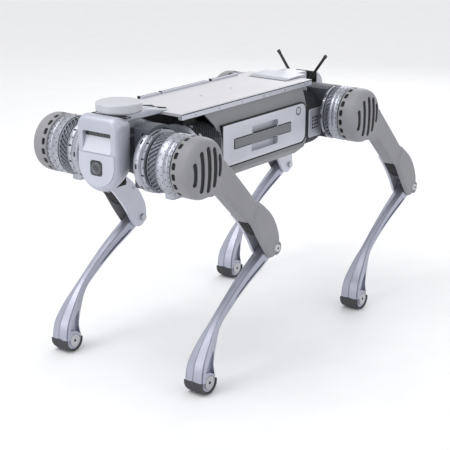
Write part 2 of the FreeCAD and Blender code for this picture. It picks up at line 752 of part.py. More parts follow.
doc.recompute()
for obj in doc.Objects:
    if "Invalid" in obj.State or "Error" in obj.State:
        raise RuntimeError("%s (%s) failed: %s" % (obj.Name, obj.Label, obj.State))
for obj in NODES:
    if obj.Shape.isNull() or not obj.Shape.isValid():
        raise RuntimeError("%s has no valid shape" % obj.Label)

os.makedirs("parts", exist_ok=True)
whole = FreeCAD.BoundBox()
for obj in NODES:
    obj.Shape.exportStep("parts/%s.step" % obj.Label)
    whole.add(obj.Shape.optimalBoundingBox(False))
print("%d sub-parts" % len(NODES))
print("box centre x %.2f, size %.1f x %.1f x %.1f, lowest %.3f"
      % (whole.Center.x, whole.XLength, whole.YLength, whole.ZLength, whole.ZMin))
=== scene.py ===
import json
import math

import bmesh
import bpy
import numpy as np
from mathutils import Matrix, Vector


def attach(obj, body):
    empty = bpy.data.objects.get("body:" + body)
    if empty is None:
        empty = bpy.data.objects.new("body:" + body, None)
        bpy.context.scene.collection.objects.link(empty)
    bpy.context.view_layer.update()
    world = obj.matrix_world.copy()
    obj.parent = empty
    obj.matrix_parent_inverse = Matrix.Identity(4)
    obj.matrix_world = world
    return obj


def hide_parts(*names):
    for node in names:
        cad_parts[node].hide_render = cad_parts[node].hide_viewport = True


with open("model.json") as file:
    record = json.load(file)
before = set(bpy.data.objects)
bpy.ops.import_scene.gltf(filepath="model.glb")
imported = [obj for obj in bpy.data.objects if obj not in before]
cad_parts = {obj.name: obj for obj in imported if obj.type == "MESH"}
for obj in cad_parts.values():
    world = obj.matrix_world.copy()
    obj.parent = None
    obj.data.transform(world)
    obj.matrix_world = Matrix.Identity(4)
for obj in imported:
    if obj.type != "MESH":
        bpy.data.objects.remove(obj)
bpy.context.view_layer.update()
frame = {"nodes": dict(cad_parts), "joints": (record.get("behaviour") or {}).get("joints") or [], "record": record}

# Lengths inside the shape functions are millimetres; MM turns them into metres.
MM = 0.001
LEGS = {"fl": (1, 1), "fr": (1, -1), "rl": (-1, 1), "rr": (-1, -1)}
SIDES = {"left": 1, "right": -1}
JOINT = {j["name"]: j for j in frame["joints"]}
FRONT_X = JOINT["swing_fl"]["pos_m"][0]
REAR_X = JOINT["swing_rl"]["pos_m"][0]
HIP_Z = JOINT["swing_fl"]["pos_m"][2]
SHIFT = (FRONT_X + REAR_X) / 2
KNEE = Vector(JOINT["knee_fl"]["pos_m"]) - Vector(JOINT["swing_fl"]["pos_m"])
THIGH_TURN = math.atan2(-KNEE.x, -KNEE.z)
SHANK_TURN = math.radians(46.54)
LINK = 222.0
TORSO = Matrix.Translation((SHIFT, 0, 0)) @ Matrix.Scale(MM, 4)
scene = bpy.context.scene
scene.view_settings.view_transform = "Standard"


# ---------------------------------------------------------------- materials

def srgb(red, green, blue):
    """Display colour, 0 to 255, as scene-linear values."""
    def linear(value):
        """One channel of the display colour."""
        value /= 255
        return value / 12.92 if value <= 0.04045 else ((value + 0.055) / 1.055) ** 2.4
    return (linear(red), linear(green), linear(blue), 1.0)


def material(name, colour, rough, metal=0.0, grain=(900.0, 0.12), tint=0.12, speck=None,
             stretch=(1, 1, 1), wear=0.0, spread=0.08, **sockets):
    """Procedural surface: cloudy tint, fine grain in the bump and gloss, and worn edges."""
    mat = bpy.data.materials.new(name)
    mat.use_nodes = True
    nodes, links = mat.node_tree.nodes, mat.node_tree.links
    shader = nodes["Principled BSDF"]
    place = nodes.new("ShaderNodeTexCoord")
    mapping = nodes.new("ShaderNodeMapping")
    mapping.inputs["Scale"].default_value = stretch
    links.new(place.outputs["Object"], mapping.inputs["Vector"])

    def noise(scale, detail, rough_value=0.55):
        """Noise over the object's own coordinates, 0 to 1."""
        tex = nodes.new("ShaderNodeTexNoise")
        tex.inputs["Scale"].default_value = scale
        tex.inputs["Detail"].default_value = detail
        tex.inputs["Roughness"].default_value = rough_value
        links.new(mapping.outputs["Vector"], tex.inputs["Vector"])
        return tex.outputs["Fac"]

    def ramp(source, low, high, low_value, high_value):
        """Map a range of the source onto a range of values."""
        step = nodes.new("ShaderNodeMapRange")
        step.inputs["From Min"].default_value = low
        step.inputs["From Max"].default_value = high
        step.inputs["To Min"].default_value = low_value
        step.inputs["To Max"].default_value = high_value
        links.new(source, step.inputs["Value"])
        return step.outputs["Result"]

    def mix(factor, first, second):
        """Blend two colours, each a socket or a fixed value."""
        blend = nodes.new("ShaderNodeMix")
        blend.data_type = "RGBA"
        for socket, value in ((blend.inputs[6], first), (blend.inputs[7], second)):
            if isinstance(value, bpy.types.NodeSocket):
                links.new(value, socket)
            else:
                socket.default_value = value
        links.new(factor, blend.inputs[0])
        return blend.outputs[2]

    dark = tuple(c * (1 - tint) for c in colour[:3]) + (1.0,)
    light = tuple(min(1.0, c * (1 + tint)) for c in colour[:3]) + (1.0,)
    tone = mix(ramp(noise(14.0, 3.0), 0.35, 0.65, 0.0, 1.0), dark, light)
    if speck:
        flakes = ramp(noise(speck[0], 1.0), 0.62, 0.72, 0.0, speck[1])
        bright = tuple(min(1.0, c * 1.6 + 0.02) for c in colour[:3]) + (1.0,)
        tone = mix(flakes, tone, bright)
    if wear:
        geometry = nodes.new("ShaderNodeNewGeometry")
        edge = ramp(geometry.outputs["Pointiness"], 0.53, 0.60, 0.0, wear)
        pale = tuple(min(1.0, c * 1.5 + 0.06) for c in colour[:3]) + (1.0,)
        tone = mix(edge, tone, pale)
    links.new(tone, shader.inputs["Base Color"])
    links.new(ramp(noise(grain[0] * 0.35, 2.0), 0.3, 0.7, rough - spread, rough + spread),
              shader.inputs["Roughness"])
    bump = nodes.new("ShaderNodeBump")
    bump.inputs["Strength"].default_value = grain[1]
    bump.inputs["Distance"].default_value = 0.0004
    links.new(noise(grain[0], 4.0, 0.6), bump.inputs["Height"])
    links.new(bump.outputs["Normal"], shader.inputs["Normal"])
    shader.inputs["Metallic"].default_value = metal
    for socket, value in sockets.items():
        shader.inputs[socket.replace("_", " ")].default_value = value
    return mat


MATS = {
    "thigh_plastic": material("moulded_grey", srgb(134, 134, 138), 0.48, grain=(1500, 0.22),
                              tint=0.05, speck=(2600, 0.10), wear=0.25),
    "shell_plastic": material("moulded_dark_grey", srgb(116, 117, 121), 0.50,
                              grain=(1500, 0.22), tint=0.05, speck=(2600, 0.10), wear=0.2),
    "grip_plastic": material("grip_grey", srgb(112, 113, 118), 0.52, grain=(1700, 0.28),
                             tint=0.05, wear=0.2),
    "silver_metal": material("silver_satin", srgb(180, 182, 192), 0.36, 0.5,
                             grain=(2200, 0.10), tint=0.05, speck=(5200, 0.25), wear=0.3),
    "silver_panel": material("panel_satin", srgb(186, 188, 197), 0.40, 0.25,
                             grain=(2200, 0.10), tint=0.04, speck=(5200, 0.25), wear=0.3),
    "head_paint": material("head_satin", srgb(176, 179, 190), 0.38, 0.3,
                           grain=(2200, 0.08), tint=0.04, speck=(5200, 0.3), wear=0.25),
    "disc_paint": material("disc_satin", srgb(184, 185, 192), 0.42, 0.15, grain=(1800, 0.10),
                           tint=0.03, speck=(5200, 0.2), wear=0.2),
    "deck_paint": material("deck_satin", srgb(184, 183, 188), 0.46, 0.1, grain=(1600, 0.12),
                           tint=0.03, speck=(4200, 0.2), wear=0.2),
    "shank_metal": material("forged_silver", srgb(168, 170, 184), 0.36, 0.7,
                            grain=(1900, 0.16), tint=0.06, speck=(4200, 0.3), wear=0.4),
    "motor_metal": material("machined_silver", srgb(162, 164, 173), 0.34, 0.85,
                            grain=(1600, 0.05), tint=0.08, stretch=(1, 6, 1), wear=0.35,
                            spread=0.05),
    # Darker copy of the machined silver: painted shade between the fins. The lens rings share it.
    "fin_metal_painted_shade": material("fin_silver_painted_shade", srgb(118, 120, 129), 0.36, 0.8, grain=(1400, 0.12),
                          tint=0.10, wear=0.5),
    "screw_steel": material("turned_steel", srgb(190, 190, 194), 0.26, 0.95,
                            grain=(1600, 0.08), tint=0.05, stretch=(1, 10, 1)),
    "dark_metal": material("charcoal_satin", srgb(52, 56, 65), 0.5, 0.1, grain=(1500, 0.16),
                           tint=0.12, speck=(3200, 0.15), wear=0.35),
    "roll_case": material("black_anodised", srgb(40, 42, 48), 0.42, 0.35, grain=(1600, 0.14),
                          tint=0.12, wear=0.5),
    "black_plastic": material("black_moulded", srgb(28, 28, 30), 0.48, grain=(1700, 0.2),
                              tint=0.15, wear=0.15),
    "foot_rubber": material("sole_rubber", srgb(70, 70, 75), 0.78, grain=(1100, 0.5),
                            tint=0.12, speck=(2400, 0.12), wear=0.3),
    "visor_gloss": material("visor_gloss", srgb(202, 204, 214), 0.14, 0.1, grain=(900, 0.02),
                            tint=0.02, spread=0.03, Coat_Weight=0.6, Coat_Roughness=0.05),
    "dark_window": material("tinted_window", srgb(30, 31, 35), 0.18, grain=(900, 0.03),
                            tint=0.1, spread=0.04, Coat_Weight=0.5, Coat_Roughness=0.04),
    "lens_glass": material("coated_lens", srgb(20, 20, 26), 0.08, grain=(600, 0.01), tint=0.2,
                           spread=0.02, Coat_Weight=1.0, Coat_Roughness=0.02),
    "circuit_board": material("board_green", srgb(20, 82, 50), 0.5, grain=(1400, 0.2),
                              tint=0.1),
    # Black for holes, grooves and dark seams; also painted shade in hollows and behind slots.
    "void_black": material("shadow_black", srgb(17, 17, 19), 0.7, grain=(1200, 0.2), tint=0.1),
}
for entry in frame["record"]["subparts"]:
    for holder in frame["nodes"][entry["node"]].material_slots:
        holder.material = MATS[entry["material_slot"]]


# ---------------------------------------------------------------- shape tools

def build(points, faces):
    """A mesh from points and faces, doubles welded and normals outwards."""
    mesh = bpy.data.meshes.new("shape")
    mesh.from_pydata([tuple(map(float, p)) for p in points], [], faces)
    work = bmesh.new()
    work.from_mesh(mesh)
    bmesh.ops.remove_doubles(work, verts=work.verts, dist=1e-5)
    bmesh.ops.recalc_face_normals(work, faces=work.faces)
    work.to_mesh(mesh)
    work.free()
    return mesh


def joined(*meshes):
    """Several meshes as one."""
    work = bmesh.new()
    for mesh in meshes:
        work.from_mesh(mesh)
    result = bpy.data.meshes.new("shape")
    work.to_mesh(result)
    work.free()
    return result


def moved(mesh, matrix):
    """A transformed copy of a mesh, with its faces still outward after a mirror."""
    copy = mesh.copy()
    copy.transform(matrix)
    if matrix.determinant() < 0:
        copy.flip_normals()
    return copy


def worked(mesh, *steps):
    """The mesh after the given modifiers; each step is a kind and its settings."""
    holder = bpy.data.objects.new("work", mesh)
    scene.collection.objects.link(holder)
    tools = []
    for kind, settings in steps:
        modifier = holder.modifiers.new(kind.lower(), kind)
        for key, value in settings.items():
            if isinstance(value, bpy.types.Mesh):
                value = bpy.data.objects.new("tool", value)
                scene.collection.objects.link(value)
                tools.append(value)
            setattr(modifier, key, value)
    bpy.context.view_layer.update()
    deps = bpy.context.evaluated_depsgraph_get()
    result = bpy.data.meshes.new_from_object(holder.evaluated_get(deps))
    for obj in [holder] + tools:
        bpy.data.objects.remove(obj)
    return result


def carved(mesh, *cutters):
    """The mesh less the cutters."""
    return worked(mesh, ("BOOLEAN", {"object": joined(*cutters), "operation": "DIFFERENCE",
                                     "solver": "EXACT", "use_self": True}))


def stamp(name, mesh, matrix, finish, body, crease=35, replaces=()):
    """Place a mesh as a piece of the model, riding on a body."""
    copy = moved(mesh, matrix)
    copy.name = name
    copy.materials.clear()
    copy.materials.append(MATS[finish])
    copy.polygons.foreach_set("use_smooth", [True] * len(copy.polygons))
    copy.set_sharp_from_angle(angle=math.radians(crease))
    obj = bpy.data.objects.new(name, copy)
    scene.collection.objects.link(obj)
    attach(obj, body)
    if replaces:
        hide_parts(*replaces)
    return obj


def rings_mesh(rings, loop=False):
    """Skin closed rings that have equal numbers of points; the ends are capped or joined."""
    count = len(rings[0])
    points = [p for ring in rings for p in ring]
    faces = []
    pairs = list(zip(range(len(rings) - 1), range(1, len(rings))))
    if loop:
        pairs.append((len(rings) - 1, 0))
    for a, b in pairs:
        for i in range(count):
            j = (i + 1) % count
            faces.append((a * count + i, a * count + j, b * count + j, b * count + i))
    if not loop:
        faces.append(tuple(range(count)))
        faces.append(tuple((len(rings) - 1) * count + i for i in range(count)))
    return build(points, faces)


def soften(profile, size):
    """Replace each corner of an open profile by a small chamfer."""
    result = [profile[0]]
    for before, here, after in zip(profile, profile[1:], profile[2:]):
        for other in (before, after):
            span = math.dist(here, other)
            share = min(size, span * 0.4) / max(span, 1e-9)
            result.append((here[0] + (other[0] - here[0]) * share,
                           here[1] + (other[1] - here[1]) * share))
    return result + [profile[-1]]


def circle(y, segments, radius_at):
    """One closed ring about the Y axis whose radius depends on the angle."""
    ring = []
    for k in range(segments):
        angle = 2 * math.pi * k / segments
        radius = radius_at(angle)
        ring.append((radius * math.sin(angle), y, radius * math.cos(angle)))
    return ring


def lathe(profile, segments=96, bevel=0.4):
    """Turn a profile of (y, radius) about the Y axis."""
    return rings_mesh([circle(y, segments, lambda angle, r=radius: r)
                       for y, radius in soften(profile, bevel)])


def relief(low, high, rows, segments, radius_at):
    """A drum about Y whose radius depends on the angle and on y; its ends are closed."""
    rim_inset, hub_inset = 0.6, 4.0
    hub = min(radius_at(0.0, low), radius_at(0.0, high)) - hub_inset
    rings = []
    for row, y in enumerate(np.linspace(low, high, rows)):
        inset = rim_inset if row in (0, rows - 1) else 0.0
        rings.append(circle(y, segments, lambda angle: radius_at(angle, y) - inset))
    hubs = [circle(y, segments, lambda angle: hub) for y in np.linspace(low, high, 2)]
    return rings_mesh([hubs[0]] + rings + [hubs[1]])


def arc_points(start, middle, end, step):
    """Points on the circle through three points, from start to end, without the start."""
    a, b, c = (complex(*p) for p in (start, middle, end))
    w = (c - a) / (b - a)
    if abs(w.imag) < 1e-9:
        return [end]
    centre = a + (b - a) * (w - abs(w) ** 2) / (2j * w.imag)
    first = math.atan2((a - centre).imag, (a - centre).real)
    turn_mid = (math.atan2((b - centre).imag, (b - centre).real) - first) % (2 * math.pi)
    turn = (math.atan2((c - centre).imag, (c - centre).real) - first) % (2 * math.pi)
    if turn_mid > turn:
        turn -= 2 * math.pi
    radius = abs(a - centre)
    count = max(2, int(abs(turn) * radius / step))
    return [(centre.real + radius * math.cos(first + turn * k / count),
             centre.imag + radius * math.sin(first + turn * k / count))
            for k in range(1, count + 1)]


def trace(outline, step=2.0):
    """Sample a closed outline of corners and (middle, end) arcs."""
    points = [outline[0]]
    for entry in list(outline[1:]) + [outline[0]]:
        start = points[-1]
        if isinstance(entry[0], tuple):
            points += arc_points(start, entry[0], entry[1], step)
            continue
        count = max(1, int(math.dist(start, entry) / step))
        points += [(start[0] + (entry[0] - start[0]) * k / count,
                    start[1] + (entry[1] - start[1]) * k / count)
                   for k in range(1, count + 1)]
    while math.dist(points[0], points[-1]) < 1e-6:
        points.pop()
    return points


def shrunk(points, amount):
    """Move a closed outline inwards along its averaged normals."""
    ring = np.array(points)
    ahead, behind = np.roll(ring, -1, 0), np.roll(ring, 1, 0)
    tangent = ahead - behind
    tangent /= np.maximum(np.linalg.norm(tangent, axis=1, keepdims=True), 1e-9)
    area = np.sum(ring[:, 0] * ahead[:, 1] - ahead[:, 0] * ring[:, 1])
    inward = np.stack([-tangent[:, 1], tangent[:, 0]], 1) * (1 if area > 0 else -1)
    return ring + inward * amount


def pillow(outline, low, high, low_round=0.5, high_round=0.5, step=2.0, plane="xz", turns=5):
    """A plate between two planes with rounded rims; plane names its outline's axes."""
    points = trace(outline, step)
    rings = []
    for near, radius, sign in ((low, low_round, 1), (high, high_round, -1)):
        angles = [math.pi / 2 * k / turns for k in range(turns + 1)]
        if sign < 0:
            angles.reverse()
        for angle in angles:
            level = near + sign * radius * (1 - math.cos(angle))
            ring = shrunk(points, radius * (1 - math.sin(angle)))
            if plane == "xz":
                rings.append([(a, level, b) for a, b in ring])
            elif plane == "yz":
                rings.append([(level, a, b) for a, b in ring])
            else:
                rings.append([(a, b, level) for a, b in ring])
    return rings_mesh(rings)


def rounded(width, height, corner, centre=(0.0, 0.0)):
    """Outline of a rounded rectangle for pillow()."""
    w, h, (cx, cy) = width / 2, height / 2, centre
    k = corner * (1 - math.sqrt(0.5))
    spots = [(-w + corner, -h), (w - corner, -h), ((w - k, -h + k), (w, -h + corner)),
             (w, h - corner), ((w - k, h - k), (w - corner, h)), (-w + corner, h),
             ((-w + k, h - k), (-w, h - corner)), (-w, -h + corner),
             ((-w + k, -h + k), (-w + corner, -h))]
    return [tuple((a + cx, b + cy) for a, b in s) if isinstance(s[0], tuple)
            else (s[0] + cx, s[1] + cy) for s in spots]


def around(mesh, count, y, radius, phase=0.0):
    """Copies of a small piece, drawn on the XY plane facing +Z, set round a drum about Y."""
    turns = [Matrix.Rotation(2 * math.pi * k / count + phase, 4, "Y") for k in range(count)]
    return joined(*[moved(mesh, turn @ Matrix.Translation((0, y, radius))) for turn in turns])


def button(radius, height, segments=16, dish=0.0):
    """A small round head on the XY plane, its top at the given height."""
    turns = [2 * math.pi * k / segments for k in range(segments)]
    steps = ((radius, -1.0), (radius, height * 0.7), (radius * 0.86, height),
             (radius * 0.55, height), (radius * 0.5, height - dish))
    return rings_mesh([[(r * math.cos(a), r * math.sin(a), z) for a in turns]
                       for r, z in steps])


def band(outline, width, low, high, plane="xz"):
    """A closed strip that follows an outline, between two planes."""
    outer = trace(outline, 2.0)
    inner = shrunk(outer, width)
    order = {"xz": lambda a, b, c: (a, c, b), "yz": lambda a, b, c: (c, a, b),
             "xy": lambda a, b, c: (a, b, c)}[plane]
    rings = [[order(a, b, level) for a, b in ring]
             for ring, level in ((outer, low), (outer, high), (inner, high), (inner, low))]
    return rings_mesh(rings, loop=True)


def block(low, high, round_=0.6):
    """A block between two corners with rounded rims along Z."""
    size = [b - a for a, b in zip(low, high)]
    centre = ((low[0] + high[0]) / 2, (low[1] + high[1]) / 2)
    corner = min(round_ * 1.5, size[0] / 3, size[1] / 3)
    rim = min(round_, size[2] / 3, corner * 0.8)
    return pillow(rounded(size[0], size[1], corner, centre), low[2], high[2], rim, rim,
                  plane="xy", turns=2)


# ---------------------------------------------------------------- leg shapes
# Drawn hanging straight down from the joint: x forward, y away from the body, z up.

BEAM = [(-33.0, -25.9), (-31.5, -72.0), (-28.4, -132.0), ((-33.6, -168.0), (-24.0, -208.5)),
        ((-15.5, -221.5), (-3.0, -230.0)), ((10.5, -229.5), (19.2, -219.0)), (19.7, -210.0),
        ((12.2, -173.0), (6.5, -146.0)), (6.2, -76.0), ((10.0, -52.5), (24.0, -34.5))]
HOOD = [(-26.6, -138.0), ((-33.2, -168.0), (-24.0, -208.5)), ((-15.5, -221.5), (-3.0, -230.0)),
        ((10.5, -229.5), (19.2, -219.0)), (19.7, -210.0), ((12.2, -173.0), (6.0, -149.0)),
        ((-6.0, -136.5), (-26.6, -138.0))]
FORK_GAP = [(-22.0, -142.0), ((-28.4, -170.0), (-19.6, -203.0)),
            ((-16.0, -211.0), (-13.0, -222.0)), (-13.0, -245.0), (60.0, -245.0),
            (60.0, -136.0), (7.0, -136.0)]
FORK_LINER = [(-21.0, -143.0), ((-27.0, -167.0), (-21.4, -188.0)), (2.0, -188.0),
              ((6.2, -169.0), (3.4, -143.0))]
FACE_SLOTS = [(27.6, 25.0, 3.8), (13.8, 48.0, 4.2), (-0.3, 54.0, 4.2), (-13.4, 47.0, 4.1),
              (-25.2, 24.0, 3.7)]


def turned(point, angle):
    """Turn a point, or the points of an arc, about the origin."""
    if isinstance(point[0], tuple):
        return tuple(turned(p, angle) for p in point)
    x, z = point
    return (x * math.cos(angle) - z * math.sin(angle), x * math.sin(angle) + z * math.cos(angle))


def slot_outline(middle, height, half):
    """A rounded slot in the vent cover, bowed outward and lowered toward the front."""
    top, bulge = height / 2, 3.2 * height / 61.0
    corners = [(middle - half, -top), ((middle - half - bulge, 0.0), (middle - half, top)),
               ((middle, top + half), (middle + half, top)),
               ((middle + half - bulge, 0.0), (middle + half, -top)),
               ((middle, -top - half), (middle - half, -top))]
    drop = 0.06 * middle
    lowered = [tuple((a, b - drop) for a, b in c) if isinstance(c[0], tuple)
               else (c[0], c[1] - drop) for c in corners]
    return [turned(point, THIGH_TURN) for point in lowered]


COVER_INSIDE = [(128.0, 40.0), (132.6, 39.2), (136.4, 37.0), (139.2, 33.6), (140.4, 29.6),
                (140.8, 24.0)]


def thigh_shape():
    """Vented round cover, beam and bulging knee hood, blended into one moulding."""
    cover = lathe([(110.2, 41.4), (111.0, 42.0), (128.5, 42.0), (133.0, 41.3), (137.0, 39.2),
                   (140.0, 35.8), (141.6, 31.0), (142.0, 24.0)], 128, 0.8)
    beam = pillow(BEAM, 116.4, 139.2, 2.5, 6.5, turns=6)
    hood = pillow(HOOD, 116.2, 141.6, 2.0, 7.5, turns=6)
    body = worked(joined(cover, beam, hood),
                  ("REMESH", {"mode": "VOXEL", "voxel_size": 1.25}),
                  ("SMOOTH", {"factor": 0.6, "iterations": 7}))
    hollow = lathe([(105.0, 40.0)] + COVER_INSIDE, 96, 0.3)
    gap = pillow(FORK_GAP, 110.0, 136.2, 0.2, 1.5, turns=2)
    bore = moved(lathe([(100.0, 4.0), (150.0, 4.0)], 32), Matrix.Translation((0, 0, -LINK)))
    slots = [pillow(slot_outline(*s), 126.0, 147.0, 0.1, 0.1, 1.5, turns=1) for s in FACE_SLOTS]
    vent = pillow(rounded(9.6, 6.2, 2.2), -5.0, 5.0, 0.1, 0.1, 1.5, "xy", 1)
    return carved(body, hollow, gap, bore, around(vent, 18, 116.2, 41.0, math.radians(10)),
                  *slots)


# Centre line of the lower leg, knee at the origin: x, z, width, depth, ridge height.
SHANK_LINE = [(1.0, -3.0, 19.0, 17.0, 0.0), (2.6, -11.0, 19.0, 19.6, 0.0),
              (8.7, -33.4, 17.4, 20.0, 0.04), (18.6, -70.1, 14.6, 18.2, 0.10),
              (26.0, -109.9, 12.8, 15.4, 0.16), (29.7, -146.4, 13.6, 13.4, 0.20),
              (25.6, -178.1, 23.4, 19.6, 0.16), (16.2, -205.8, 31.2, 28.2, 0.10),
              (1.9, -220.1, 33.2, 36.2, 0.02)]
SHANK_Y = 126.0


def shank_station(t):
    """Centre, forward normal and sizes at a fraction t along the lower leg."""
    table = np.array(SHANK_LINE)
    last = len(table) - 1
    place = t * last
    k = min(int(place), last - 1)
    f = place - k
    p0, p1, p2, p3 = (table[min(max(i, 0), last)] for i in (k - 1, k, k + 1, k + 2))
    value = 0.5 * (2 * p1 + (p2 - p0) * f + (2 * p0 - 5 * p1 + 4 * p2 - p3) * f * f
                   + (3 * p1 - p0 - 3 * p2 + p3) * f ** 3)
    slope = 0.5 * ((p2 - p0) + 2 * (2 * p0 - 5 * p1 + 4 * p2 - p3) * f
                   + 3 * (3 * p1 - p0 - 3 * p2 + p3) * f * f)
    along = Vector((slope[0], slope[1])).normalized()
    return value, Vector((-along.y, along.x))


def at_link(mesh):
    """Hang a mesh at the far end of a leg link."""
    return moved(mesh, Matrix.Translation((0, 0, -LINK)))


def shank_shape():
    """Forged lower leg with a front ridge, edge grooves, side slits and foot recesses."""
    half = [(0.92, 0.0, 1.0), (1.0, 0.055, 1.0), (0.965, 0.42, 0.5), (0.92, 0.80, 0.0),
            (0.78, 0.83, 0.0), (0.78, 0.90, 0.0), (0.82, 0.94, 0.0), (0.62, 1.0, 0.0),
            (0.0, 1.0, 0.0),
            (-0.52, 0.99, 0.0), (-0.84, 0.84, 0.0), (-1.0, 0.52, 0.0), (-1.0, 0.0, 0.0)]
    section = half + [(u, -v, r) for u, v, r in half[-2:0:-1]]
    rings = []
    for k in range(57):
        (x, z, width, depth, ridge), front = shank_station(k / 56)
        ring = []
        for u, v, r in section:
            reach = (u + r * ridge - 0.5 * ridge) * depth / 2
            ring.append((x + front.x * reach, SHANK_Y + v * width / 2, z + front.y * reach))
        rings.append(ring)
    eye = lathe([(SHANK_Y - 9.8, 10.4), (SHANK_Y + 9.8, 10.4)], 64, 0.8)
    core = moved(lathe([(SHANK_Y - 14.5, 13.6), (SHANK_Y - 13.0, 14.8), (SHANK_Y + 13.0, 14.8),
                        (SHANK_Y + 14.5, 13.6)], 72, 0.5), Matrix.Translation((0, 0, -LINK)))
    body = rings_mesh(rings)
    for boss in (core, eye):
        body = worked(body, ("BOOLEAN", {"object": joined(boss), "operation": "UNION",
                                         "solver": "EXACT"}))
    cutters = []
    for sign in (1, -1):
        edge_a, edge_b = [], []
        for k in range(13):
            (x, z, width, depth, ridge), front = shank_station(0.215 + 0.27 * k / 12)
            taper = math.sin(math.pi * min(1.0, 0.12 + k / 13.5)) ** 0.5 * 1.9
            middle = -0.16 * depth
            edge_a.append((x + front.x * (middle + taper), z + front.y * (middle + taper)))
            edge_b.append((x + front.x * (middle - taper), z + front.y * (middle - taper)))
        low, high = (SHANK_Y + 3.5, SHANK_Y + 20) if sign > 0 else (SHANK_Y - 20, SHANK_Y - 3.5)
        cutters.append(pillow(edge_a + edge_b[::-1], low, high, 0.1, 0.1, 4.0, turns=1))
        low, high = (SHANK_Y + 6, SHANK_Y + 25) if sign > 0 else (SHANK_Y - 25, SHANK_Y - 6)
        cutters.append(pillow(RECESS, low, high, 0.2, 0.2, 2.0, turns=1))
    eye_bore = lathe([(100.0, 4.05), (150.0, 4.05)], 32)
    seats = [at_link(lathe([(SHANK_Y + 14.4, 10.2), (SHANK_Y + 30.0, 10.2)], 64, 0.1)),
             at_link(lathe([(SHANK_Y - 30.0, 10.2), (SHANK_Y - 14.4, 10.2)], 64, 0.1))]
    return carved(body, eye_bore, at_link(eye_bore), *(cutters + seats))


RECESS = [(21.8, -184.0), ((21.2, -201.0), (17.8, -217.0)), ((9.0, -211.0), (-3.4, -208.2)),
          ((9.8, -197.2), (20.6, -183.6))]


def sole_shape():
    """Rubber sole with a crowned, blocked tread, wrapped round the foot."""
    centre_angle, reach = math.radians(45), math.radians(98)
    rings = []
    for k in range(161):
        angle = -reach + 2 * reach * k / 160
        tread = math.degrees(angle) % 8.5
        across = 0.75 if 3.6 < tread < 5.3 else 0.0
        ring = [(14.9, -15.6), (15.4, -16.5)]
        for v in np.linspace(-16.5, 16.5, 31):
            crown = 18.0 - 1.9 * abs(v / 16.5) ** 4
            groove = 0.75 if min(abs(abs(v) - 4.4), abs(abs(v) - 11.0)) < 0.75 else 0.0
            groove = max(groove, across if abs(v) < 15.2 else 0.0)
            ring.append((crown - groove, v))
        ring += [(15.4, 16.5), (14.9, 15.6)]
        sx, sz = math.sin(angle - math.pi), math.cos(angle - math.pi)
        rings.append([(r * sx, SHANK_Y + v, r * sz) for r, v in ring])
    turn = Matrix.Rotation(centre_angle, 4, "Y")
    return moved(rings_mesh(rings), Matrix.Translation((0, 0, -LINK)) @ turn)


def fin_radius(top, depth, count, lean):
    """Radius of a drum with slanted cooling fins."""
    def radius(angle, y):
        wave = math.sin(count * angle + lean * y)
        return top - depth * (0.5 - 0.5 * max(-1.0, min(1.0, 2.6 * wave)))
    return radius


def hatch_radius(top, depth, count, lean):
    """Radius of a drum with two crossing families of grooves."""
    def radius(angle, y):
        first = math.sin(count * angle + lean * y)
        second = math.sin(count * angle - lean * y)
        return top - depth * max(0.0, min(1.0, 1.6 * max(first, second) - 0.25))
    return radius


